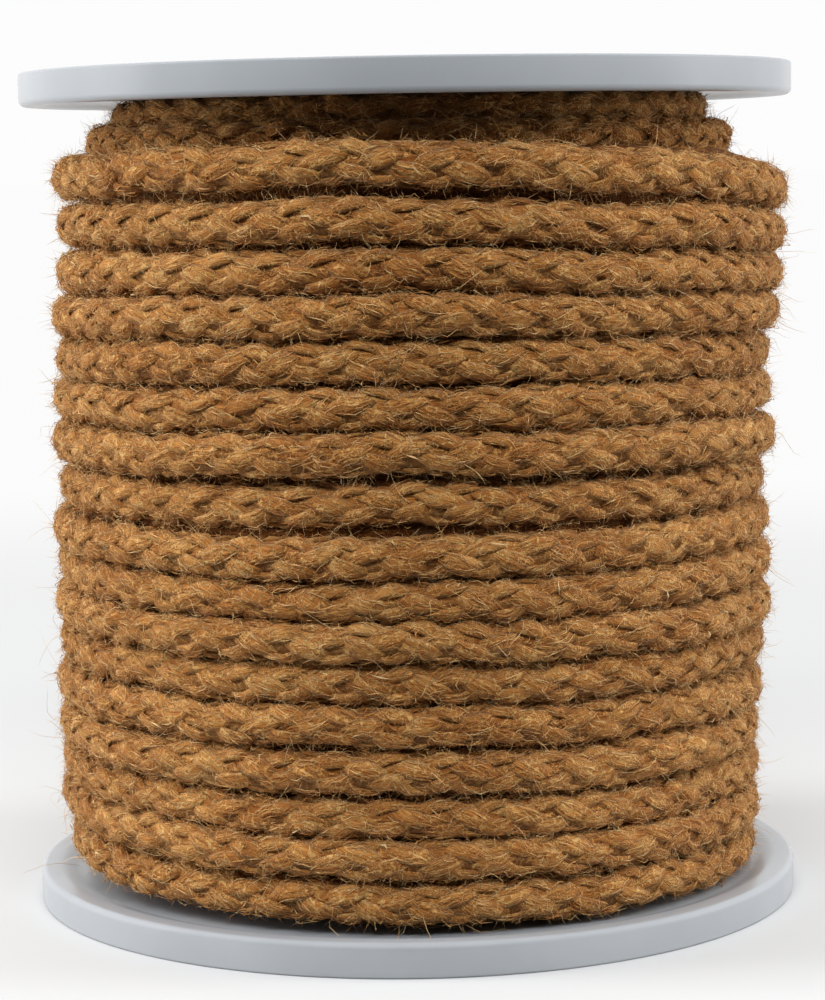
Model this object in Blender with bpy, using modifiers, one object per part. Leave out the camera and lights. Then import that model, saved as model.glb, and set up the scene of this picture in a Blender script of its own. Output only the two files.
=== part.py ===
"""Jute rope wound on a plastic spool, standing on the spool's lower flange.

The spool is one turned moulding: two flanges with raised lips, joined by a barrel with an open
bore. The winding is one solid. Its outside is a single helix of raised rows, one for each turn of
the rope, which starts with two turns left bare under the upper flange and ends above the lower one.

Metres, +Z up. The origin is the centre of the spool's underside, and the front faces -Y.
"""

import math
from collections import namedtuple

import bmesh
import bpy
import numpy as np

COLLECTION_NAME = "jute_rope_on_spool"
GAP = 0.0003                    # clearance between the winding and the spool

# Spool
SPOOL_HEIGHT = 0.1617
FLANGE_RADIUS = 0.075
FLANGE_THICKNESS = 0.0064
LIP_WIDTH = 0.0066              # raised band round the inner face of each flange
LIP_HEIGHT = 0.0011
RIM_ROUNDING = 0.0012           # corner between the lip and the rim
FOOT_ROUNDING = 0.0005          # corner between the rim and the outer face
FOOT_WIDTH = 0.008              # raised band round the outer face
RECESS_DEPTH = 0.0012
HUB_WIDTH = 0.005               # raised band round the bore
STEP_SLOPE = 0.0006             # how far each step in a face leans
BARREL_RADIUS = 0.029
BORE_RADIUS = 0.026
SPOOL_SIDES = 64
CORNER_STEPS = 3

# Winding
SECTIONS_PER_TURN = 48
VALLEY_DEPTH = 0.0026           # how far the line between two turns lies inside their crests
SHOULDER_DROP = 0.0008          # how far the rounding at a shoulder lies inside the crest
SHOULDER_SPAN = 0.62            # a shoulder's place between the crest and the valley
TOP_INNER_RADIUS = 0.045        # where the sloping top of the winding meets its flat top
FOOT_INNER_RADIUS = 0.058       # where the sloping underside meets the flat one
LEFT_TURN, FRONT_TURN, RIGHT_TURN = 0.264, 0.5, 0.736   # parts of a turn, which starts at the back

# Each turn of the rope: the height of its crest at the left, front and right, and the radius of its
# crest at the left and right. The first and the last are hidden and only shape their neighbours.
Turn = namedtuple("Turn", "left front right left_radius right_radius")
TURNS = (
    Turn(0.1570, 0.1570, 0.1570, 0.0560, 0.0570),
    Turn(0.1514, 0.1512, 0.1510, 0.0570, 0.0588),
    Turn(0.1474, 0.1470, 0.1464, 0.0622, 0.0632),
    Turn(0.1415, 0.1424, 0.1375, 0.0692, 0.0744),
    Turn(0.1330, 0.1330, 0.1290, 0.0686, 0.0744),
    Turn(0.1235, 0.1245, 0.1208, 0.0688, 0.0736),
    Turn(0.1145, 0.1168, 0.1138, 0.0700, 0.0726),
    Turn(0.1065, 0.1087, 0.1055, 0.0698, 0.0710),
    Turn(0.0990, 0.1006, 0.0985, 0.0698, 0.0708),
    Turn(0.0905, 0.0929, 0.0900, 0.0704, 0.0720),
    Turn(0.0823, 0.0844, 0.0820, 0.0697, 0.0700),
    Turn(0.0743, 0.0755, 0.0748, 0.0708, 0.0704),
    Turn(0.0670, 0.0678, 0.0665, 0.0702, 0.0709),
    Turn(0.0595, 0.0601, 0.0580, 0.0710, 0.0711),
    Turn(0.0523, 0.0520, 0.0508, 0.0700, 0.0696),
    Turn(0.0443, 0.0448, 0.0430, 0.0710, 0.0691),
    Turn(0.0366, 0.0367, 0.0355, 0.0712, 0.0688),
    Turn(0.0293, 0.0286, 0.0280, 0.0701, 0.0681),
    Turn(0.0216, 0.0213, 0.0198, 0.0706, 0.0687),
    Turn(0.0138, 0.0128, 0.0122, 0.0686, 0.0674),
    Turn(0.0060, 0.0050, 0.0044, 0.0670, 0.0660),
)


def clear_scene():
    for obj in list(bpy.data.objects):
        bpy.data.objects.remove(obj, do_unlink=True)


def make_collection(name):
    collection = bpy.data.collections.new(name)
    bpy.context.scene.collection.children.link(collection)
    return collection


def make_material(name, colour, roughness):
    material = bpy.data.materials.new(name)
    material.use_nodes = True
    shader = material.node_tree.nodes["Principled BSDF"]
    shader.inputs["Base Color"].default_value = (*colour, 1.0)
    shader.inputs["Roughness"].default_value = roughness
    shader.inputs["Metallic"].default_value = 0.0
    return material


def rounded_corner(radius, height, size, start, end):
    """Points on a quarter circle about (radius, height), between two angles in degrees."""
    angles = np.radians(np.linspace(start, end, CORNER_STEPS + 1))
    return [(radius + size * math.cos(a), height + size * math.sin(a)) for a in angles]


def spool_profile():
    """The closed section of the spool as (radius, height), down its outer side and up its bore."""
    web = FLANGE_THICKNESS - LIP_HEIGHT
    lip = FLANGE_RADIUS - LIP_WIDTH
    foot = FLANGE_RADIUS - FOOT_WIDTH
    hub = BORE_RADIUS + HUB_WIDTH
    lower = [(BARREL_RADIUS, web), (lip - STEP_SLOPE, web), (lip, FLANGE_THICKNESS - LIP_HEIGHT / 4)]
    lower += [(lip + STEP_SLOPE, FLANGE_THICKNESS)]
    lower += rounded_corner(
        FLANGE_RADIUS - RIM_ROUNDING, FLANGE_THICKNESS - RIM_ROUNDING, RIM_ROUNDING, 90, 0
    )
    lower += rounded_corner(FLANGE_RADIUS - FOOT_ROUNDING, FOOT_ROUNDING, FOOT_ROUNDING, 0, -90)
    lower += [(foot, 0.0), (foot - STEP_SLOPE, RECESS_DEPTH)]
    lower += [(hub + STEP_SLOPE, RECESS_DEPTH), (hub, 0.0)]
    lower += [(BORE_RADIUS + STEP_SLOPE, 0.0), (BORE_RADIUS, STEP_SLOPE)]
    upper = [(radius, SPOOL_HEIGHT - height) for radius, height in reversed(lower)]
    return lower + upper


def make_spool(collection):
    profile = spool_profile()
    mesh = bpy.data.meshes.new("spool")
    corners = [(radius, 0.0, height) for radius, height in profile]
    sides = [(i, (i + 1) % len(profile)) for i in range(len(profile))]
    mesh.from_pydata(corners, sides, [])
    spool = bpy.data.objects.new("spool", mesh)
    collection.objects.link(spool)

    turn = spool.modifiers.new("turned", "SCREW")
    turn.axis = "Z"
    turn.angle = 2 * math.pi
    turn.steps = turn.render_steps = SPOOL_SIDES
    turn.use_merge_vertices = True
    turn.merge_threshold = 0.00001
    turn.use_smooth_shade = True

    mesh.materials.append(make_material("grey_plastic", (0.42, 0.43, 0.45), 0.3))
    return spool


def smooth_through(place, places, values):
    """A smooth curve through the values, read at each entry of place, and level past its ends."""
    slopes = np.gradient(values, places)
    left = np.clip(np.searchsorted(places, place) - 1, 0, len(places) - 2)
    span = places[left + 1] - places[left]
    t = np.clip((place - places[left]) / span, 0, 1)
    rise = values[left + 1] - values[left]
    ease = t * t * (3 - 2 * t)
    bend = t * (1 - t) * ((1 - t) * slopes[left] - t * slopes[left + 1])
    return values[left] + rise * ease + span * bend


def turn_heights(turns):
    """Crest height after that many turns, counted from the back of the first row of TURNS."""
    places = [k + part for k in range(len(TURNS)) for part in (LEFT_TURN, FRONT_TURN, RIGHT_TURN)]
    heights = [height for row in TURNS for height in (row.left, row.front, row.right)]
    return smooth_through(turns, np.array(places), np.array(heights))


def turn_radii(turns):
    """Crest radius after that many turns."""
    places = [k + part for k in range(len(TURNS)) for part in (LEFT_TURN, RIGHT_TURN)]
    radii = [radius for row in TURNS for radius in (row.left_radius, row.right_radius)]
    return smooth_through(turns, np.array(places), np.array(radii))


def around(turns, radii, heights):
    """Points at those radii and heights; a turn starts at the back and passes left, front and right."""
    angles = 2 * math.pi * np.asarray(turns)
    return np.stack([-radii * np.sin(angles), radii * np.cos(angles), heights], axis=1)


def winding_rails(turns, lowest, highest):
    """Five lines along the helix: the valley above a turn, then its shoulder, crest and shoulder."""
    crest = turn_heights(turns)
    above, below = turn_heights(turns - 1), turn_heights(turns + 1)
    radius = turn_radii(turns)
    valley = np.clip((above + crest) / 2, lowest, highest)
    next_valley = np.clip((below + crest) / 2, lowest, highest)
    crest = np.clip(crest, lowest, highest)
    valley_radius = np.minimum(radius, turn_radii(turns - 1)) - VALLEY_DEPTH
    shoulder_radius = radius - SHOULDER_DROP
    return [
        around(turns, valley_radius, valley),
        around(turns, shoulder_radius, crest + SHOULDER_SPAN * (valley - crest)),
        around(turns, radius, crest),
        around(turns, shoulder_radius, crest + SHOULDER_SPAN * (next_valley - crest)),
    ]


def make_winding(collection):
    """One closed solid, lofted along the helix, with a bore for the spool's barrel."""
    web = FLANGE_THICKNESS - LIP_HEIGHT
    lowest = web + GAP
    highest = SPOOL_HEIGHT - web - GAP
    turn_count = len(TURNS) - 2
    per_turn = SECTIONS_PER_TURN
    last = turn_count * per_turn

    mesh = bmesh.new()

    def add_ring(radius, height):
        turns = np.arange(per_turn) / per_turn
        points = around(turns, np.full(per_turn, radius), np.full(per_turn, height))
        ring = [mesh.verts.new(point) for point in points]
        return ring + ring[:1]

    # The valleys run one turn past the last section, because they also close it from below.
    turns = 1 + np.arange(last + per_turn + 1) / per_turn
    rails = winding_rails(turns, lowest, highest)
    valleys = [mesh.verts.new(point) for point in rails[0]]
    ridges = [[mesh.verts.new(point) for point in rail[: last + 1]] for rail in rails[1:]]

    for k in range(last):
        column = [valleys, *ridges]
        for upper, lower in zip(column, column[1:]):
            mesh.faces.new((upper[k], lower[k], lower[k + 1], upper[k + 1]))
        under = k + per_turn
        mesh.faces.new((ridges[-1][k], valleys[under], valleys[under + 1], ridges[-1][k + 1]))

    top_rim = add_ring(TOP_INNER_RADIUS, highest)
    top_bore = add_ring(BARREL_RADIUS + GAP, highest)
    foot_bore = add_ring(BARREL_RADIUS + GAP, lowest)
    foot_rim = add_ring(FOOT_INNER_RADIUS, lowest)
    top_edge = valleys[: per_turn + 1]
    foot_edge = valleys[last:]
    rings = [foot_edge, foot_rim, foot_bore, top_bore, top_rim, top_edge]
    for outer, inner in zip(rings, rings[1:]):
        for k in range(per_turn):
            mesh.faces.new((outer[k], inner[k], inner[k + 1], outer[k + 1]))

    # The cut ends of the helix, where it starts and stops at the back.
    start = [valleys[0], *(ridge[0] for ridge in ridges), valleys[per_turn]]
    stop = [valleys[last], *(ridge[last] for ridge in ridges), valleys[last + per_turn]]
    mesh.faces.new([top_rim[0], *reversed(start)])
    mesh.faces.new([foot_rim[0], *stop])

    bmesh.ops.triangulate(mesh, faces=mesh.faces[:])
    bmesh.ops.recalc_face_normals(mesh, faces=mesh.faces[:])
    data = bpy.data.meshes.new("rope_winding")
    mesh.to_mesh(data)
    mesh.free()
    data.shade_smooth()
    winding = bpy.data.objects.new("rope_winding", data)
    collection.objects.link(winding)
    data.materials.append(make_material("jute", (0.38, 0.2, 0.075), 0.9))
    return winding


def main():
    clear_scene()
    collection = make_collection(COLLECTION_NAME)
    make_spool(collection)
    make_winding(collection)


main()
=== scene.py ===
"""Looks of a braided jute rope wound on a grey plastic spool.

The rope is eight strands braided round along its wound path, over a core and the turns below, both
drawn darker as painted shade, with loose fibres on it. The spool is a finer turned copy of the CAD
solid. Metres, +Z up, front -Y.
"""

import math
from collections import namedtuple

import bpy
import numpy as np
from mathutils import Matrix, Vector


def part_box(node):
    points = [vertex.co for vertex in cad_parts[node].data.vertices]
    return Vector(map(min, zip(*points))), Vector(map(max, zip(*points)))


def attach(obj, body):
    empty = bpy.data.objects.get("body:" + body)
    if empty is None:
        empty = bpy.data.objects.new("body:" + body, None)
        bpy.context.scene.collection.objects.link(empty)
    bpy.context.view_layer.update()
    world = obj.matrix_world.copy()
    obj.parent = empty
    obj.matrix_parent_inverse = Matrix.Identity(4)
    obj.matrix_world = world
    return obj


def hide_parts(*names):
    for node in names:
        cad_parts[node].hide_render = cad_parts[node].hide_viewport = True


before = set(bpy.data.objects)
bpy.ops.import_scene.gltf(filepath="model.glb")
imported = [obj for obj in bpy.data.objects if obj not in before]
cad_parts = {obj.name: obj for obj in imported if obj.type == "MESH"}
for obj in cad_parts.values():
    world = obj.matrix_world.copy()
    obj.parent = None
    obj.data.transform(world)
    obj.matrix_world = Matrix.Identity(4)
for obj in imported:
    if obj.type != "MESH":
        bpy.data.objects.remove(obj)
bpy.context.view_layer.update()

# Sizes from the frame
spool_low, spool_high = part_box("spool")
FLANGE_RADIUS = spool_high.x
SPOOL_HEIGHT = spool_high.z

# Spool, as the CAD has it
FLANGE_THICKNESS = 0.0064
LIP_WIDTH = 0.0066
LIP_HEIGHT = 0.0011
FOOT_WIDTH = 0.008
RECESS_DEPTH = 0.0012
HUB_WIDTH = 0.005
BARREL_RADIUS = 0.029
BORE_RADIUS = 0.026
WEB_HEIGHT = FLANGE_THICKNESS - LIP_HEIGHT
ROPE_GAP = 0.0002               # kept between the rope and the flanges
LOWEST, HIGHEST = WEB_HEIGHT + ROPE_GAP, SPOOL_HEIGHT - WEB_HEIGHT - ROPE_GAP

# Rope
ROPE_RADIUS = 0.00405
FUZZ = 0.0003                   # how far the fibres stand out of the braid at its crest
ROPE_SQUARENESS = 2.8           # 2 is a round section, more is squarer
BRAID_PITCH = 0.038             # along the rope for one turn of a strand round it
STRANDS_EACH_WAY = 4
STRAND_ORBIT = 0.0026           # radius of a strand's path round the rope's centre
STRAND_LIFT = 0.0005            # how far it rises and dips at the crossings
STRAND_SWING = 0.75             # how much straighter it runs where it is on top
STRAND_ON_TOP = 0.35            # more makes each strand stay on top for longer
STRAND_HALF_WIDTH = 0.00162
STRAND_HALF_THICKNESS = 0.00086
ROOT_DEPTH = 0.0003             # how deep in a strand a hair starts
SKIN_ANGLES = np.radians([0.0, 55.0, 125.0, 180.0, 270.0])   # corners of a strand's section
SKIN_TOP = (math.radians(20), math.radians(160))   # the part of its skin that hairs leave from
SECTIONS_PER_PITCH = 20
CORE_RADIUS = 0.0032
HIDDEN_BEYOND = math.radians(128)   # strands this far round the rope face the turns below
TUCK_DEPTH = 0.009              # how far the hidden ends turn in under their neighbours
TUCK_LENGTH = 0.07              # in turns
FIRST_TURN, LAST_TURN = 1.0, 20.0
BRAID_PIECES = (1.0, 6.0, 11.0, 15.5, 20.0)
LEFT_TURN, FRONT_TURN, RIGHT_TURN = 0.264, 0.5, 0.736   # parts of a turn, which starts at the back

# Each turn of the rope: the height of its crest at the left, front and right, and the radius of its
# crest at the left and right. The first and the last are hidden and only shape their neighbours.
Turn = namedtuple("Turn", "left front right left_radius right_radius")
TURNS = (
    Turn(0.1570, 0.1570, 0.1570, 0.0560, 0.0570),
    Turn(0.1532, 0.1532, 0.1532, 0.0580, 0.0594),
    Turn(0.1480, 0.1476, 0.1470, 0.0626, 0.0636),
    Turn(0.1415, 0.1433, 0.1375, 0.0692, 0.0744),
    Turn(0.1325, 0.1334, 0.1290, 0.0686, 0.0744),
    Turn(0.1235, 0.1247, 0.1212, 0.0688, 0.0736),
    Turn(0.1151, 0.1170, 0.1141, 0.0700, 0.0726),
    Turn(0.1070, 0.1088, 0.1059, 0.0698, 0.0710),
    Turn(0.0992, 0.1004, 0.0987, 0.0698, 0.0708),
    Turn(0.0907, 0.0925, 0.0900, 0.0704, 0.0720),
    Turn(0.0824, 0.0833, 0.0817, 0.0697, 0.0700),
    Turn(0.0740, 0.0737, 0.0741, 0.0708, 0.0704),
    Turn(0.0667, 0.0661, 0.0659, 0.0702, 0.0709),
    Turn(0.0594, 0.0590, 0.0571, 0.0710, 0.0711),
    Turn(0.0521, 0.0512, 0.0497, 0.0700, 0.0696),
    Turn(0.0438, 0.0437, 0.0412, 0.0710, 0.0691),
    Turn(0.0359, 0.0351, 0.0331, 0.0712, 0.0688),
    Turn(0.0286, 0.0267, 0.0250, 0.0701, 0.0681),
    Turn(0.0212, 0.0199, 0.0172, 0.0706, 0.0687),
    Turn(0.0132, 0.0113, 0.0096, 0.0690, 0.0680),
    Turn(0.0050, 0.0033, 0.0020, 0.0674, 0.0664),
)

# Loose fibres: how many, and the least and greatest of their lengths, widths and tones
Fibres = namedtuple("Fibres", "count lengths widths tones")
SURFACE_FIBRES = Fibres(16000, (0.002, 0.006), (0.0001, 0.00022), (0.1, 0.85))
MATTED_FIBRES = Fibres(28000, (0.0015, 0.005), (0.0001, 0.00021), (0.15, 0.8))
STRAW_BITS = Fibres(140, (0.002, 0.005), (0.0003, 0.0005), (0.75, 1.0))
SHORT_FUZZ = Fibres(15000, (0.0015, 0.0042), (0.00005, 0.0001), (0.5, 1.0))
LONG_HAIRS = Fibres(2400, (0.003, 0.009), (0.00006, 0.00012), (0.5, 1.0))
FINE_FUZZ = Fibres(41000, (0.0008, 0.004), (0.00006, 0.00011), (0.45, 1.0))

# Camera, fitted to the rims of both flanges
CAMERA_DISTANCE = 7.9353 * FLANGE_RADIUS
CAMERA_HEIGHT = 1.9088 * FLANGE_RADIUS
CAMERA_PITCH = math.radians(-6.356)
CAMERA_YAW = math.radians(0.016)
CAMERA_ROLL = math.radians(-0.979)
CAMERA_LENS = 108.6
SENSOR = 36.0

WHITE = (1.0, 1.0, 1.0, 1.0)
PAINTED_GAP_SHADE = (0.5, 0.44, 0.42)     # painted shade: how much darker and redder the turns below are drawn
FLOOR_ALBEDO, FLOOR_GLOW, SKY_GLOW = 0.56, 0.97, 0.98


# Helpers

def smooth_through(place, places, values):
    """A smooth curve through the values, read at each entry of place, and level past its ends."""
    slopes = np.gradient(values, places)
    left = np.clip(np.searchsorted(places, place) - 1, 0, len(places) - 2)
    span = places[left + 1] - places[left]
    t = np.clip((place - places[left]) / span, 0, 1)
    rise = values[left + 1] - values[left]
    ease = t * t * (3 - 2 * t)
    bend = t * (1 - t) * ((1 - t) * slopes[left] - t * slopes[left + 1])
    return values[left] + rise * ease + span * bend


def ripple(x, wavelength, seed, parts=5):
    """An uneven wave of about that wavelength, mostly between -1 and 1."""
    rng = np.random.default_rng(seed)
    total = np.zeros(np.shape(x))
    for stretch, phase in zip(rng.uniform(0.6, 1.8, parts), rng.uniform(0, 2 * math.pi, parts)):
        total += np.sin(2 * math.pi * x / (wavelength * stretch) + phase)
    return total / math.sqrt(parts)


def ease(x):
    x = np.clip(x, 0, 1)
    return x * x * (3 - 2 * x)


def unit(vectors):
    return vectors / np.maximum(np.linalg.norm(vectors, axis=-1, keepdims=True), 1e-12)


def make_object(name, points, faces, uv=None, tone=None, smooth=True):
    """A mesh object from arrays: points, one or more arrays of faces, and per-point uv and tone."""
    mesh = bpy.data.meshes.new(name)
    groups = faces if isinstance(faces, list) else [faces]
    corners = np.concatenate([group.reshape(-1) for group in groups]).astype(np.int32)
    sizes = np.concatenate([np.full(len(group), group.shape[1]) for group in groups])
    starts = np.concatenate([[0], np.cumsum(sizes)[:-1]]).astype(np.int32)
    mesh.vertices.add(len(points))
    mesh.vertices.foreach_set("co", np.asarray(points, np.float32).reshape(-1))
    mesh.loops.add(len(corners))
    mesh.loops.foreach_set("vertex_index", corners)
    mesh.polygons.add(len(starts))
    mesh.polygons.foreach_set("loop_start", starts)
    mesh.update(calc_edges=True)
    mesh.validate()
    if uv is not None:
        layer = mesh.uv_layers.new(name="fibre")
        layer.uv.foreach_set("vector", np.asarray(uv, np.float32)[corners].reshape(-1))
    if tone is not None:
        attribute = mesh.attributes.new("tone", "FLOAT", "POINT")
        attribute.data.foreach_set("value", np.asarray(tone, np.float32).reshape(-1))
    if smooth:
        mesh.shade_smooth()
    obj = bpy.data.objects.new(name, mesh)
    bpy.context.scene.collection.objects.link(obj)
    return obj


def tube_faces(tubes, rings, sides):
    """Quads and end caps of closed tubes whose points are ordered tube, ring, side."""
    tube = np.arange(tubes)[:, None, None] * rings * sides
    ring = np.arange(rings - 1)[None, :, None] * sides
    side = np.arange(sides)[None, None, :]
    after = (side + 1) % sides
    a, b = tube + ring + side, tube + ring + after
    quads = np.stack([a, b, b + sides, a + sides], axis=-1).reshape(-1, 4)
    first = (np.arange(tubes)[:, None] * rings * sides) + np.arange(sides)[None, ::-1]
    last = (np.arange(tubes)[:, None] * rings * sides) + (rings - 1) * sides + np.arange(sides)
    return [quads, first, last]


def kept_tubes(keep, sides):
    """As tube_faces for the runs of rings that keep marks, with the points that those faces use."""
    lone = keep.copy()
    lone[:, 1:-1] &= ~keep[:, :-2] & ~keep[:, 2:]
    lone[:, 0] &= ~keep[:, 1]
    lone[:, -1] &= ~keep[:, -2]
    keep = np.pad(keep & ~lone, ((0, 0), (1, 1)))
    rings = keep.shape[1] - 2
    side = np.arange(sides)
    here, ahead, behind = keep[:, 1:-1], keep[:, 2:], keep[:, :-2]

    def starts(mask):
        tube, ring = np.nonzero(mask)
        return ((tube * rings + ring) * sides)[:, None]

    joined = starts(here & ahead)
    a, b = joined + side, joined + (side + 1) % sides
    quads = np.stack([a, b, b + sides, a + sides], axis=-1).reshape(-1, 4)
    faces = [quads, starts(here & ~behind) + side[::-1], starts(here & ~ahead) + side]
    used = np.repeat(here.reshape(-1), sides)
    number = np.cumsum(used) - 1
    return [number[group] for group in faces], used


# Rope path

def turn_heights(turns):
    places = [k + part for k in range(len(TURNS)) for part in (LEFT_TURN, FRONT_TURN, RIGHT_TURN)]
    heights = [height for row in TURNS for height in (row.left, row.front, row.right)]
    wobble = 0.00028 * ripple(turns, 0.11, seed=3)
    return smooth_through(turns, np.array(places), np.array(heights)) + wobble


def turn_radii(turns):
    """Radius of the rope's centre, which is well inside its crest where an end is tucked in."""
    places = [k + part for k in range(len(TURNS)) for part in (LEFT_TURN, RIGHT_TURN)]
    radii = [radius for row in TURNS for radius in (row.left_radius, row.right_radius)]
    crest = smooth_through(turns, np.array(places), np.array(radii))
    wobble = 0.0003 * ripple(turns, 0.13, seed=4)
    tuck = 1 - ease((turns - FIRST_TURN) / TUCK_LENGTH) * ease((LAST_TURN - turns) / TUCK_LENGTH)
    return crest - FUZZ - ROPE_RADIUS + wobble - TUCK_DEPTH * tuck


def path_lengths():
    """Turns at close steps along the path, and the rope's length up to each."""
    turns = np.linspace(FIRST_TURN, LAST_TURN, 20001)
    points = around(turns, turn_radii(turns), turn_heights(turns))
    steps = np.linalg.norm(np.diff(points, axis=0), axis=1)
    return turns, np.concatenate([[0.0], np.cumsum(steps)])


def around(turns, radii, heights):
    angles = 2 * math.pi * turns
    return np.stack([-radii * np.sin(angles), radii * np.cos(angles), heights], axis=-1)


PATH_TURNS, PATH_LENGTHS = path_lengths()


def section_at(length):
    """Centre, outward direction and half sizes above and below, at that length of rope."""
    turns = np.interp(length, PATH_LENGTHS, PATH_TURNS)
    radius, height = turn_radii(turns), turn_heights(turns)
    centre = around(turns, radius, height)
    outward = around(turns, np.ones_like(turns), np.zeros_like(turns))
    room = []
    for other in (turns - 1, turns + 1):
        held = np.clip(other, FIRST_TURN + TUCK_LENGTH, LAST_TURN - TUCK_LENGTH)
        apart = np.hypot(turn_heights(other) - height, turn_radii(held) - radius)
        room.append(np.minimum(apart / 2 + 0.0001, ROPE_RADIUS + 0.0001))
    above = np.minimum(room[0], HIGHEST - height)
    below = np.minimum(room[1], height - LOWEST)
    return centre, outward, above, below


def on_section(length, angle, distance):
    """Points at a distance from the rope's centre, at an angle from outward towards up."""
    centre, outward, above, below = section_at(length)
    across, up = np.cos(angle), np.sin(angle)
    fill = (np.abs(across) ** ROPE_SQUARENESS + np.abs(up) ** ROPE_SQUARENESS) ** (
        -1 / ROPE_SQUARENESS
    )
    stretch = np.where(up > 0, above, below) / ROPE_RADIUS
    point = centre + outward * (distance * fill * across)[..., None]
    point[..., 2] += distance * fill * up * stretch
    return point, centre


# Braid

def strand_centre(strand, length):
    way = np.where(strand < STRANDS_EACH_WAY, 1.0, -1.0)
    turned = 2 * math.pi * length / BRAID_PITCH
    start = 2 * math.pi * (strand % STRANDS_EACH_WAY) / STRANDS_EACH_WAY
    roll = 0.35 * ripple(length, 0.23, seed=5) + 1.9 * length
    stray = 0.1 * ripple(length + 3.1 * strand, 0.021, seed=6)
    wave = np.cos(STRANDS_EACH_WAY * turned)
    swing = STRAND_SWING / STRANDS_EACH_WAY * np.sin(STRANDS_EACH_WAY * turned)
    angle = way * turned - swing + start + roll + stray
    wave = way * wave
    lift = STRAND_LIFT * np.tanh(1.4 * (wave + STRAND_ON_TOP))
    loose = 0.00016 * ripple(length + 1.7 * strand, 0.013, seed=7)
    point, centre = on_section(length, angle, STRAND_ORBIT + lift + loose)
    return point, centre, wave


def strand_surface(strand, length, angle, proud=0.0):
    """Points on a strand's skin, at an angle round it from its side towards outward."""
    step = 0.0004
    point, centre, wave = strand_centre(strand, length)
    ahead = strand_centre(strand, length + step)[0]
    behind = strand_centre(strand, length - step)[0]
    along = unit(ahead - behind)
    side = unit(np.cross(along, point - centre))
    out = np.cross(side, along)
    uneven = 0.12 * ripple(length + 2.3 * strand, 0.011, seed=8)
    half_width = STRAND_HALF_WIDTH * (1 + 0.16 * wave + uneven)
    uneven = 0.13 * ripple(length + 5.3 * strand, 0.009, seed=9)
    half_thick = STRAND_HALF_THICKNESS * (1 + uneven)
    across = (half_width + proud) * np.cos(angle)
    high = (half_thick + proud) * np.sin(angle)
    return point + side * across[..., None] + out * high[..., None], along, out, wave


def make_braid_piece(name, first, last, material):
    strands = 2 * STRANDS_EACH_WAY
    start, stop = np.interp([first, last], PATH_TURNS, PATH_LENGTHS)
    rings = int(round((stop - start) / BRAID_PITCH * SECTIONS_PER_PITCH)) + 1
    sides = len(SKIN_ANGLES)
    shape = (strands, rings, sides)
    strand = np.broadcast_to(np.arange(strands)[:, None, None], shape)
    length = np.broadcast_to(np.linspace(start, stop, rings)[None, :, None], shape)
    angle = np.broadcast_to(SKIN_ANGLES, shape)
    points, _, out, wave = strand_surface(strand, length, angle)
    outward = section_at(length[:, :, 0])[1]
    keep = (out[:, :, 0] * outward).sum(axis=-1) > math.cos(HIDDEN_BEYOND)
    faces, used = kept_tubes(keep, sides)
    grain = 0.00009 * ripple(length * 1.3 + 0.41 * strand + angle * 0.0017, 0.0031, seed=10)
    centre = on_section(length, angle * 0, 0 * length)[1]
    points = points + unit(points - centre) * grain[..., None]
    width = STRAND_HALF_WIDTH * math.pi
    twist = 0.22 * length
    uv = np.stack([length, strand * 0.02 + width * angle / math.pi + twist], axis=-1)
    own_tone = 0.5 + 0.12 * ripple(length + 7.7 * strand, 0.05, seed=11)
    # Painted shade and light: a strand is drawn darker where it dips under the others, lighter on
    # top.
    tone = own_tone + 0.1 * wave
    braid = make_object(
        name, points.reshape(-1, 3)[used], faces, uv.reshape(-1, 2)[used], tone.reshape(-1)[used]
    )
    braid.data.materials.append(material)
    return braid


def make_core(material):
    """The yarn inside the braid, seen between the strands; its low tone is painted shade."""
    sides, step, end = 8, 0.005, 0.002
    rings = int(PATH_LENGTHS[-1] / step)
    shape = (rings, sides)
    length = np.linspace(end, PATH_LENGTHS[-1] - end, rings)
    length = np.broadcast_to(length[:, None], shape)
    angle = np.broadcast_to(np.linspace(0, 2 * math.pi, sides, endpoint=False)[::-1], shape)
    points, _ = on_section(length, angle, np.full(shape, CORE_RADIUS))
    uv = np.stack([length, 0.003 * angle], axis=-1)
    # Painted shade: tone 0.3, below the strands' 0.5, darkens the core in the hollows between them.
    core = make_object(
        "rope_core", points.reshape(-1, 3), tube_faces(1, rings, sides), uv.reshape(-1, 2),
        np.full(rings * sides, 0.3),
    )
    core.data.materials.append(material)
    return core


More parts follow.
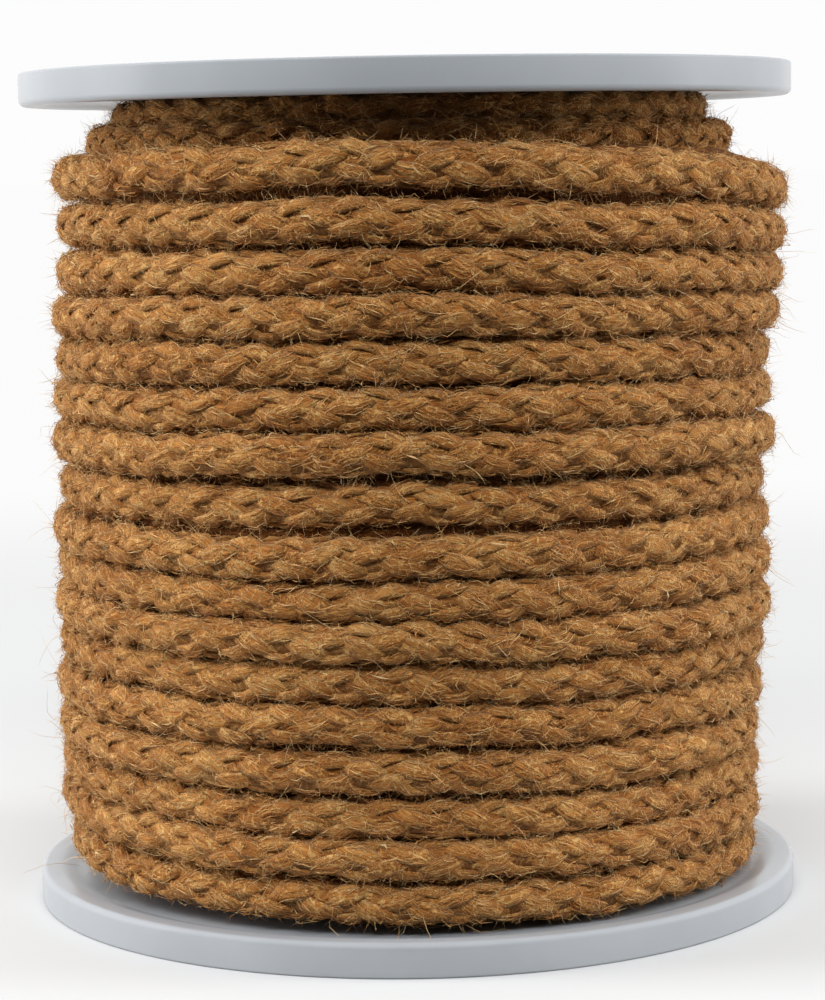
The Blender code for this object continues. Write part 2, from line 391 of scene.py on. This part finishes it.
def make_turns_below(material):
    """The turns under the outer layer, as a ribbed form that shows only between its turns."""
    per_turn, sunk, ridge, groove_depth, gap = 96, 0.0052, 0.0008, 0.0016, 0.0003
    top_rim_radius, foot_rim_radius = 0.050, 0.055
    count = int(LAST_TURN - FIRST_TURN) * per_turn
    turns = FIRST_TURN + np.arange(count + 1 + per_turn) / per_turn
    low, high = WEB_HEIGHT + gap, SPOOL_HEIGHT - WEB_HEIGHT - gap
    height, above = turn_heights(turns), turn_heights(turns - 1)
    held = np.clip(turns, FIRST_TURN + TUCK_LENGTH, LAST_TURN - TUCK_LENGTH)
    radius = turn_radii(held) + ROPE_RADIUS - sunk
    middle = around(turns, radius + ridge, np.clip((height + above) / 2, low, high))
    groove = around(turns, radius - groove_depth, np.clip(height, low, high))[: count + 1]
    sections = per_turn
    ring_turns = np.arange(sections) / sections
    full = np.ones(sections)
    rings = [
        around(ring_turns, top_rim_radius * full, high * full),
        around(ring_turns, (BARREL_RADIUS + gap) * full, high * full),
        around(ring_turns, (BARREL_RADIUS + gap) * full, low * full),
        around(ring_turns, foot_rim_radius * full, low * full),
    ]
    points = np.concatenate([middle, groove, *rings])
    middle_at = np.arange(len(middle))
    groove_at = len(middle) + np.arange(len(groove))
    ring_at = []
    for k in range(len(rings)):
        ring = len(middle) + len(groove) + k * sections + np.arange(sections)
        ring_at.append(np.append(ring, ring[0]))
    quads = []

    def band(outer, inner):
        quads.append(np.stack([outer[:-1], inner[:-1], inner[1:], outer[1:]], axis=1))

    band(middle_at[: count + 1], groove_at)
    band(groove_at, middle_at[per_turn:])
    top_rim, top_bore, foot_bore, foot_rim = ring_at
    band(middle_at[count:], foot_rim)
    band(foot_rim, foot_bore)
    band(foot_bore, top_bore)
    band(top_bore, top_rim)
    band(top_rim, middle_at[: per_turn + 1])
    start = np.array([[middle_at[0], top_rim[0], middle_at[per_turn], groove_at[0]]])
    stop = np.array([[middle_at[count], groove_at[-1], middle_at[-1], foot_rim[0]]])
    faces = np.concatenate([*quads, start, stop])
    uv = np.stack([np.arctan2(points[:, 0], points[:, 1]) * 0.06, points[:, 2]], axis=1)
    # Painted shade: tone 0 and a darker material, for a form seen only between the outer turns.
    form = make_object("turns_below", points, faces, uv, np.full(len(points), 0.0))
    form.data.materials.append(material)
    return form


# Loose fibres

def frame_across(along):
    """Two directions square to each direction along and to each other."""
    guide = np.where(np.abs(along[..., 2:3]) > 0.8, [1.0, 0.0, 0.0], [0.0, 0.0, 1.0])
    side = unit(np.cross(along, guide))
    return side, np.cross(along, side)


def make_hairs(name, paths, widths, tones, material):
    """Three-sided hairs that end in points, along paths shaped (hair, point, 3)."""
    hairs, steps, _ = paths.shape
    rings = steps - 2
    side, other = frame_across(unit(np.gradient(paths, axis=1))[:, 1:-1])
    size = widths[:, None, None] * np.linspace(1.0, 0.6, rings)[:, None] / 2
    corners = []
    for k in range(3):
        angle = 2 * math.pi * k / 3
        corners.append(paths[:, 1:-1] + size * (side * math.cos(angle) + other * math.sin(angle)))
    corners = np.stack(corners, axis=2).reshape(-1, 3)
    points = np.concatenate([paths[:, 0], paths[:, -1], corners])
    hair = np.arange(hairs)[:, None]
    k = np.arange(3)
    after = (k + 1) % 3
    first = 2 * hairs + hair * rings * 3
    last = first + (rings - 1) * 3
    root = np.stack([hair + 0 * k, first + after, first + k], axis=-1).reshape(-1, 3)
    tip = np.stack([hairs + hair + 0 * k, last + k, last + after], axis=-1).reshape(-1, 3)
    faces = [root, tip]
    for ring in range(rings - 1):
        a, b = first + ring * 3 + k, first + ring * 3 + after
        faces.append(np.stack([a, b, b + 3, a + 3], axis=-1).reshape(-1, 4))
    tone = np.concatenate([tones, tones, np.repeat(tones, rings * 3)])
    obj = make_object(name, points, faces, tone=tone)
    obj.data.materials.append(material)
    return obj


def make_needles(name, roots, tips, widths, tones, material):
    """Straight three-sided hairs from their roots to their tips, both shaped (hair, 3)."""
    side, other = frame_across(unit(tips - roots))
    size = widths[:, None] / 2
    corners = []
    for k in range(3):
        angle = 2 * math.pi * k / 3
        corners.append(roots + size * (side * math.cos(angle) + other * math.sin(angle)))
    points = np.concatenate([tips, np.stack(corners, axis=1).reshape(-1, 3)])
    hair = np.arange(len(roots))[:, None]
    k = np.arange(3)
    first = len(roots) + hair * 3
    sides = np.stack([hair + 0 * k, first + k, first + (k + 1) % 3], axis=-1).reshape(-1, 3)
    tone = np.concatenate([tones, np.repeat(tones, 3)])
    obj = make_object(name, points, [sides, first + k[::-1]], tone=tone)
    obj.data.materials.append(material)
    return obj


def raised_strand_places(rng, count):
    """Random places on the strands where they lie on top of the braid and face outward."""
    strand = rng.integers(0, 2 * STRANDS_EACH_WAY, 5 * count)
    length = rng.uniform(0.01, PATH_LENGTHS[-1] - 0.01, 5 * count)
    point, centre, wave = strand_centre(strand, length)
    outward = section_at(length)[1]
    facing = (unit(point - centre) * outward).sum(axis=-1)
    good = np.flatnonzero((wave > -0.15) & (facing > -0.25))[:count]
    return strand[good], length[good]


def make_surface_fibres(name, rng, fibres, material):
    """Fibres that lie along the strands, a little raised in the middle or at an end."""
    count = fibres.count
    strand, length = raised_strand_places(rng, count)
    t = np.linspace(0, 1, 3)[None, :]
    reach = rng.uniform(*fibres.lengths, count)[:, None]
    way = rng.choice([-1.0, 1.0], count)[:, None]
    places = length[:, None] + way * reach * (t - 0.5)
    start = rng.uniform(*SKIN_TOP, count)[:, None]
    drift = rng.normal(0, 0.5, count)[:, None]
    angle = np.clip(start + drift * (t - 0.5), 0.2, math.pi - 0.2)
    arch = rng.exponential(0.00018, count)[:, None] * np.sin(math.pi * t)
    end = rng.exponential(0.00025, count)[:, None] * t ** 3
    strands = np.broadcast_to(strand[:, None], places.shape)
    paths = strand_surface(strands, places, angle, 0.00005 + arch + end)[0]
    widths = rng.uniform(*fibres.widths, count)
    dullest, palest = fibres.tones
    tones = dullest + (palest - dullest) * rng.uniform(0, 1, count) ** 1.6
    return make_hairs(name, paths, widths, tones, material)


def make_matted_fibres(name, rng, fibres, material):
    """Fibres that lie over the braid at all angles and bridge the hollows between its strands."""
    count, spread, front = fibres.count, math.radians(55), math.radians(112)
    t = np.linspace(0, 1, 3)[None, :]
    reach = rng.uniform(*fibres.lengths, count)[:, None]
    heading = rng.normal(0, spread, count)[:, None]
    bend = rng.normal(0, spread, count)[:, None] * (t - 0.5)
    start = rng.uniform(0.01, PATH_LENGTHS[-1] - 0.01, count)[:, None]
    length = start + reach * (t - 0.5) * np.cos(heading + bend)
    start = rng.uniform(-front, front, count)[:, None]
    angle = start + reach * (t - 0.5) * np.sin(heading + bend) / ROPE_RADIUS
    sunk = rng.uniform(0.0, 0.0006, count)[:, None]
    arch = rng.exponential(0.00022, count)[:, None] * np.sin(math.pi * t)
    paths = on_section(length, angle, ROPE_RADIUS - sunk + arch)[0]
    widths, tones = rng.uniform(*fibres.widths, count), rng.uniform(*fibres.tones, count)
    return make_hairs(name, paths, widths, tones, material)


def make_fine_fuzz(rng, fibres, material):
    """Short straight hairs that stand off the braid all over."""
    count = fibres.count
    strand, length = raised_strand_places(rng, count)
    angle = rng.uniform(*SKIN_TOP, count)
    root, along, out, _ = strand_surface(strand, length, angle)
    heading = rng.choice([-0.5, 0.5], count)[:, None]
    way = unit(along * heading + out * 0.6 + rng.normal(0, 0.35, (count, 3)))
    shortest, longest = fibres.lengths
    reach = shortest + (longest - shortest) * rng.uniform(0, 1, count) ** 2
    tips = root + way * reach[:, None]
    tips[:, 2] = np.clip(tips[:, 2], LOWEST, HIGHEST)
    widths, tones = rng.uniform(*fibres.widths, count), rng.uniform(*fibres.tones, count)
    return make_needles("fine_fuzz", root - ROOT_DEPTH * out, tips, widths, tones, material)


def make_fallen_fibre(material):
    """One fibre that has come off the rope and lies over the foot's rim."""
    path = np.array([
        (-0.0660, -0.0100, 0.0062), (-0.0685, -0.0112, 0.0070), (-0.0712, -0.0118, 0.0073),
        (-0.0738, -0.0128, 0.0072), (-0.0762, -0.0134, 0.0064), (-0.0785, -0.0150, 0.0058),
    ])
    return make_hairs("fallen_fibre", path[None], np.array([0.0001]), np.array([0.6]), material)


def make_stray_hairs(name, rng, fibres, steps, lean, curl, material):
    """Hairs that leave the braid: lean is the share of outward in their first direction."""
    count = fibres.count
    strand, length = raised_strand_places(rng, count)
    angle = rng.uniform(*SKIN_TOP, count)
    root, along, out, _ = strand_surface(strand, length, angle)
    reach = rng.uniform(*fibres.lengths, count) * rng.uniform(0.6, 1.0, count)
    heading = rng.choice([-1.0, 1.0], count)[:, None]
    stray = rng.normal(0, 0.55, (count, 3))
    first = unit(along * heading * (1 - lean) + out * lean + stray * 0.6)
    turn = unit(rng.normal(0, 1, (count, 3)) - 0.5 * out)
    turn = unit(turn - first * (turn * first).sum(axis=-1, keepdims=True))
    t = np.linspace(0, 1, steps)[None, :, None]
    bend = rng.normal(0, curl, count)[:, None, None]
    kink = rng.normal(0, curl * 0.25, count)[:, None, None]
    sway = np.cross(first, turn)[:, None, :]
    paths = root[:, None, :] - ROOT_DEPTH * out[:, None, :] + reach[:, None, None] * (
        first[:, None, :] * t + turn[:, None, :] * bend * t * t + sway * kink * np.sin(5 * t)
    )
    # A hair doesn't reach into the rope: it slides out over the outer layer instead.
    spread = np.linalg.norm(paths[..., :2], axis=-1)
    root_spread = np.linalg.norm(root[:, :2], axis=-1)[:, None]
    least = root_spread - 0.0006
    push = np.maximum(least - spread, 0)[..., None]
    flat = paths[..., :2] / np.maximum(spread[..., None], 1e-9)
    paths[..., :2] += flat * push
    paths[..., 2] = np.clip(paths[..., 2], LOWEST, HIGHEST)
    widths, tones = rng.uniform(*fibres.widths, count), rng.uniform(*fibres.tones, count)
    return make_hairs(name, paths, widths, tones, material)


# Spool

def rounded_corner(radius, height, size, start, end, steps=8):
    angles = np.radians(np.linspace(start, end, steps + 1))
    return [(radius + size * math.cos(a), height + size * math.sin(a)) for a in angles]


def spool_profile():
    lip = FLANGE_RADIUS - LIP_WIDTH
    foot = FLANGE_RADIUS - FOOT_WIDTH
    hub = BORE_RADIUS + HUB_WIDTH
    rim, edge = 0.0012, 0.0005
    lower = [(BARREL_RADIUS, WEB_HEIGHT)]
    for t in np.linspace(0, 1, 13):
        rise = LIP_HEIGHT * t * t * (3 - 2 * t)
        lower.append((lip - 0.0014 + 0.0044 * t, WEB_HEIGHT + rise))
    lower += rounded_corner(FLANGE_RADIUS - rim, FLANGE_THICKNESS - rim, rim, 90, 0, 9)
    lower += rounded_corner(FLANGE_RADIUS - edge, edge, edge, 0, -90, 5)
    lower += rounded_corner(foot + 0.0004, 0.0004, 0.0004, -90, -180, 3)
    lower += [(foot - 0.0003, RECESS_DEPTH)]
    lower += [(hub + 0.0003, RECESS_DEPTH)]
    lower += rounded_corner(hub - 0.0004, 0.0004, 0.0004, 0, -90, 3)
    lower += rounded_corner(BORE_RADIUS + 0.0006, 0.0006, 0.0006, -90, -180, 4)
    upper = [(radius, SPOOL_HEIGHT - height) for radius, height in reversed(lower)]
    return np.array(lower + upper)


def make_spool(material):
    sides = 200
    profile = spool_profile()
    count = len(profile)
    angle = 2 * math.pi * np.arange(sides) / sides
    points = np.stack(
        [
            profile[None, :, 0] * np.cos(angle)[:, None],
            profile[None, :, 0] * np.sin(angle)[:, None],
            np.broadcast_to(profile[None, :, 1], (sides, count)),
        ],
        axis=-1,
    )
    column = np.arange(sides)[:, None] * count
    after = (column + count) % (sides * count)
    row = np.arange(count)[None, :]
    below = (row + 1) % count
    faces = np.stack([column + row, column + below, after + below, after + row], axis=-1)
    spool = make_object("spool_moulding", points.reshape(-1, 3), faces.reshape(-1, 4))
    spool.data.set_sharp_from_angle(angle=math.radians(40))
    spool.data.materials.append(material)
    return spool


# Materials

def new_material(name):
    material = bpy.data.materials.new(name)
    material.use_nodes = True
    tree = material.node_tree
    return material, tree, tree.nodes["Principled BSDF"]


def add_node(tree, kind, settings=None, **inputs):
    node = tree.nodes.new(kind)
    for key, value in (settings or {}).items():
        setattr(node, key, value)
    for key, value in inputs.items():
        socket = node.inputs[key.replace("_", " ")]
        if isinstance(value, bpy.types.NodeSocket):
            tree.links.new(value, socket)
        else:
            socket.default_value = value
    return node


def scaled(tree, vector, scale):
    node = tree.nodes.new("ShaderNodeVectorMath")
    node.operation = "MULTIPLY"
    tree.links.new(vector, node.inputs[0])
    node.inputs[1].default_value = scale
    return node.outputs[0]


def colour_ramp(tree, factor, stops):
    ramp = tree.nodes.new("ShaderNodeValToRGB")
    elements = ramp.color_ramp.elements
    while len(elements) < len(stops):
        elements.new(0.5)
    for element, (place, colour) in zip(elements, stops):
        element.position = place
        element.color = (*colour, 1.0)
    tree.links.new(factor, ramp.inputs[0])
    return ramp.outputs[0]


def blend_numbers(tree, operation, first, second):
    node = tree.nodes.new("ShaderNodeMath")
    node.operation = operation
    for socket, value in zip(node.inputs, (first, second)):
        if isinstance(value, bpy.types.NodeSocket):
            tree.links.new(value, socket)
        else:
            socket.default_value = value
    return node.outputs[0]


def weighted_sum(tree, *terms):
    """The sum of the values, each times its weight."""
    total = None
    for value, weight in terms:
        part = blend_numbers(tree, "MULTIPLY", value, weight)
        total = part if total is None else blend_numbers(tree, "ADD", total, part)
    return total


def curly_lines(tree, vector, scale, width):
    """Thin curling lines, as of loose fibres lying in all directions: 1 on a line and 0 off it."""
    noise = add_node(
        tree, "ShaderNodeTexNoise", Vector=vector, Scale=scale, Detail=1.0, Roughness=0.4,
        Distortion=0.6,
    ).outputs[0]
    off = blend_numbers(tree, "ABSOLUTE", blend_numbers(tree, "SUBTRACT", noise, 0.5), 0.0)
    line = add_node(
        tree, "ShaderNodeMapRange", {"interpolation_type": "SMOOTHSTEP"}, Value=off,
        From_Min=0.0, From_Max=width, To_Min=1.0, To_Max=0.0,
    )
    return line.outputs[0]


def jute_material(name, shade=(1.0, 1.0, 1.0)):
    """Streaked along each strand, with finer fibres tangled over it. Shade scales its colours."""
    material, tree, shader = new_material(name)
    uv = add_node(tree, "ShaderNodeUVMap", {"uv_map": "fibre"}).outputs[0]
    place = add_node(tree, "ShaderNodeTexCoord").outputs["Object"]
    tone = add_node(tree, "ShaderNodeAttribute", {"attribute_name": "tone"}).outputs["Fac"]
    streaks = add_node(
        tree, "ShaderNodeTexNoise", Vector=scaled(tree, uv, (300.0, 3000.0, 0.0)), Scale=1.0,
        Detail=3.0, Roughness=0.6, Distortion=0.4,
    ).outputs[0]
    bundles = add_node(
        tree, "ShaderNodeTexNoise", Vector=scaled(tree, uv, (130.0, 900.0, 0.0)), Scale=1.0,
        Detail=2.0, Roughness=0.5,
    ).outputs[0]
    stains = add_node(
        tree, "ShaderNodeTexNoise", Vector=place, Scale=60.0, Detail=2.0, Roughness=0.5,
    ).outputs[0]
    tangle = curly_lines(tree, place, 420.0, 0.035)
    tangle = blend_numbers(tree, "MAXIMUM", tangle, curly_lines(tree, place, 700.0, 0.05))
    # tone holds own tone plus the painted shade of the braid, core and turns below.
    mixed = weighted_sum(
        tree, (streaks, 1.0), (bundles, 0.45), (stains, 0.45), (tone, 0.3), (tangle, 0.3)
    )
    centred = blend_numbers(tree, "SUBTRACT", mixed, 0.66)
    stops = [
        (0.2, (0.17, 0.05, 0.011)),
        (0.42, (0.32, 0.122, 0.029)),
        (0.58, (0.46, 0.207, 0.054)),
        (0.85, (0.62, 0.37, 0.135)),
    ]
    # Painted shade: shade scales the stops down for parts drawn darker than the jute.
    stops = [(at, tuple(np.multiply(shade, colour))) for at, colour in stops]
    tree.links.new(colour_ramp(tree, centred, stops), shader.inputs["Base Color"])
    height = weighted_sum(tree, (streaks, 1.0), (bundles, 0.9), (tangle, 0.5))
    bump = add_node(tree, "ShaderNodeBump", Height=height, Strength=1.0, Distance=0.00045)
    tree.links.new(bump.outputs[0], shader.inputs["Normal"])
    shader.inputs["Roughness"].default_value = 0.8
    shader.inputs["Specular IOR Level"].default_value = 0.1
    shader.inputs["Sheen Weight"].default_value = 0.2
    shader.inputs["Sheen Roughness"].default_value = 0.4
    shader.inputs["Sheen Tint"].default_value = (1.0, 0.82, 0.55, 1.0)
    return material


def hair_material():
    material, tree, shader = new_material("jute_hair")
    tone = add_node(tree, "ShaderNodeAttribute", {"attribute_name": "tone"}).outputs["Fac"]
    colour = colour_ramp(
        tree, tone,
        [
            (0.3, (0.37, 0.143, 0.033)),
            (0.6, (0.54, 0.29, 0.094)),
            (1.0, (0.72, 0.53, 0.28)),
        ],
    )
    tree.links.new(colour, shader.inputs["Base Color"])
    shader.inputs["Roughness"].default_value = 0.6
    shader.inputs["Specular IOR Level"].default_value = 0.1
    shader.inputs["Sheen Weight"].default_value = 0.15
    shader.inputs["Sheen Roughness"].default_value = 0.4
    shader.inputs["Sheen Tint"].default_value = (1.0, 0.85, 0.6, 1.0)
    return material


def plastic_material():
    material, tree, shader = new_material("spool_plastic")
    place = add_node(tree, "ShaderNodeTexCoord").outputs["Object"]
    cloud = add_node(
        tree, "ShaderNodeTexNoise", Vector=place, Scale=38.0, Detail=3.0, Roughness=0.5
    ).outputs[0]
    colour = colour_ramp(
        tree, cloud, [(0.35, (0.31, 0.324, 0.342)), (0.65, (0.335, 0.349, 0.367))]
    )
    tree.links.new(colour, shader.inputs["Base Color"])
    grain = add_node(
        tree, "ShaderNodeTexNoise", Vector=place, Scale=900.0, Detail=2.0, Roughness=0.6
    ).outputs[0]
    bump = add_node(tree, "ShaderNodeBump", Height=grain, Strength=0.03, Distance=0.0002)
    tree.links.new(bump.outputs[0], shader.inputs["Normal"])
    shader.inputs["Roughness"].default_value = 0.25
    return material


# Stage, light and camera

def pale_to_see(tree, value, least):
    """The value, but no less than least where the camera sees it: it lights less than it shows."""
    seen = add_node(tree, "ShaderNodeLightPath").outputs["Is Camera Ray"]
    return blend_numbers(tree, "MAXIMUM", value, blend_numbers(tree, "MULTIPLY", seen, least))


def make_floor():
    """A white sweep: a matt floor near the object that turns into plain white further off."""
    size = 30.0
    corners = [(-size, -size, 0), (size, -size, 0), (size, size, 0), (-size, size, 0)]
    points = np.array(corners, float)
    floor = make_object("floor", points, np.array([[0, 1, 2, 3]]), smooth=False)
    material, tree, shader = new_material("floor")
    shader.inputs["Roughness"].default_value = 0.9
    place = add_node(tree, "ShaderNodeTexCoord").outputs["Object"]
    distance = add_node(tree, "ShaderNodeVectorMath", {"operation": "LENGTH"}, Vector=place)
    far = add_node(
        tree, "ShaderNodeMapRange", {"interpolation_type": "SMOOTHSTEP"},
        Value=distance.outputs["Value"], From_Min=0.03, From_Max=0.8,
    )
    parts = add_node(tree, "ShaderNodeSeparateXYZ", Vector=place)
    strength = add_node(
        tree, "ShaderNodeMapRange", {"interpolation_type": "SMOOTHSTEP"}, Value=parts.outputs["Y"],
        From_Min=-0.3, From_Max=-0.05, To_Min=0.03, To_Max=FLOOR_GLOW,
    )
    strength = pale_to_see(tree, strength.outputs[0], FLOOR_GLOW)
    glow = add_node(tree, "ShaderNodeEmission", Color=WHITE, Strength=strength)
    near = add_node(
        tree, "ShaderNodeMapRange", {"interpolation_type": "SMOOTHSTEP"}, Value=parts.outputs["Y"],
        From_Min=-0.18, From_Max=-0.09, To_Min=0.08, To_Max=FLOOR_ALBEDO,
    )
    albedo = pale_to_see(tree, near.outputs[0], FLOOR_ALBEDO)
    tree.links.new(albedo, shader.inputs["Base Color"])
    mix = tree.nodes.new("ShaderNodeMixShader")
    tree.links.new(far.outputs[0], mix.inputs[0])
    tree.links.new(shader.outputs[0], mix.inputs[1])
    tree.links.new(glow.outputs[0], mix.inputs[2])
    output = tree.nodes["Material Output"]
    tree.links.new(mix.outputs[0], output.inputs["Surface"])
    floor.data.materials.append(material)


def make_light(name, place, size, watts, colour=(1.0, 1.0, 1.0)):
    lamp = bpy.data.lights.new(name, "AREA")
    lamp.shape = "RECTANGLE"
    lamp.size, lamp.size_y = size
    lamp.energy = watts
    lamp.color = colour
    light = bpy.data.objects.new(name, lamp)
    bpy.context.scene.collection.objects.link(light)
    light.location = place
    aim = Vector((0.0, 0.0, SPOOL_HEIGHT / 2)) - Vector(place)
    light.rotation_euler = aim.to_track_quat("-Z", "Y").to_euler()
    light.visible_camera = False
    light.visible_glossy = False


def make_world():
    """White all round to see, but lighting less from the front, as a light tent open there."""
    world = bpy.data.worlds.new("studio")
    world.use_nodes = True
    tree = world.node_tree
    tree.nodes.clear()
    direction = add_node(tree, "ShaderNodeTexCoord").outputs["Generated"]
    parts = add_node(tree, "ShaderNodeSeparateXYZ", Vector=direction)
    height = blend_numbers(tree, "MULTIPLY", parts.outputs["Z"], 0.35)
    strength = add_node(
        tree, "ShaderNodeMapRange", {"interpolation_type": "SMOOTHSTEP"},
        Value=blend_numbers(tree, "ADD", parts.outputs["Y"], height),
        From_Min=-0.3, From_Max=0.2, To_Min=0.02, To_Max=SKY_GLOW,
    )
    strength = pale_to_see(tree, strength.outputs[0], SKY_GLOW)
    sky = add_node(tree, "ShaderNodeBackground", Color=WHITE, Strength=strength)
    output = tree.nodes.new("ShaderNodeOutputWorld")
    tree.links.new(sky.outputs[0], output.inputs["Surface"])
    bpy.context.scene.world = world


def make_camera():
    forward = Vector((
        math.sin(CAMERA_YAW) * math.cos(CAMERA_PITCH),
        math.cos(CAMERA_YAW) * math.cos(CAMERA_PITCH),
        math.sin(CAMERA_PITCH),
    ))
    level = forward.cross(Vector((0, 0, 1))).normalized()
    upright = level.cross(forward)
    right = level * math.cos(CAMERA_ROLL) + upright * math.sin(CAMERA_ROLL)
    up = upright * math.cos(CAMERA_ROLL) - level * math.sin(CAMERA_ROLL)
    data = bpy.data.cameras.new("camera")
    data.sensor_width = SENSOR
    data.lens = CAMERA_LENS
    data.clip_start = 0.01
    camera = bpy.data.objects.new("camera", data)
    bpy.context.scene.collection.objects.link(camera)
    turn = Matrix((right, up, -forward)).transposed().to_4x4()
    camera.matrix_world = Matrix.Translation((0, -CAMERA_DISTANCE, CAMERA_HEIGHT)) @ turn
    bpy.context.scene.camera = camera


def main():
    rng = np.random.default_rng(20)
    make_camera()
    make_floor()
    make_world()
    make_light("left_light", place=(-0.75, 0.0, 0.25), size=(0.3, 0.7), watts=8.0)
    make_light("right_light", place=(0.8, 0.0, 0.25), size=(0.3, 0.7), watts=6.0)
    make_light(
        "front_light", place=(0.0, -0.75, 0.80), size=(1.0, 0.3), watts=11.5,
        colour=(0.95, 0.98, 1.0),
    )
    bpy.context.scene.view_settings.view_transform = "Standard"

    # Painted shade: the inner jute is the jute drawn darker and redder, for the turns below.
    jute, inner_jute_painted_shade = jute_material("jute"), jute_material("inner_jute_painted_shade", PAINTED_GAP_SHADE)
    hair, plastic = hair_material(), plastic_material()
    spool = make_spool(plastic)
    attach(spool, "root")
    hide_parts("spool")

    pieces = []
    for k, (first, last) in enumerate(zip(BRAID_PIECES, BRAID_PIECES[1:]), start=1):
        pieces.append(make_braid_piece(f"rope_braid_{k}", first, last, jute))
    pieces.append(make_core(jute))
    pieces.append(make_turns_below(inner_jute_painted_shade))
    pieces.append(make_surface_fibres("surface_fibres_1", rng, SURFACE_FIBRES, hair))
    pieces.append(make_surface_fibres("surface_fibres_2", rng, SURFACE_FIBRES, hair))
    pieces.append(make_matted_fibres("matted_fibres", rng, MATTED_FIBRES, hair))
    pieces.append(make_matted_fibres("straw_bits", rng, STRAW_BITS, hair))
    pieces.append(
        make_stray_hairs("short_fuzz", rng, SHORT_FUZZ, steps=3, lean=0.6, curl=0.5, material=hair)
    )
    pieces.append(
        make_stray_hairs("long_hairs", rng, LONG_HAIRS, steps=6, lean=0.35, curl=0.6, material=hair)
    )
    pieces.append(make_fine_fuzz(rng, FINE_FUZZ, hair))
    pieces.append(make_fallen_fibre(hair))
    for piece in pieces:
        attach(piece, "root")
        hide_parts("rope_winding")


main()
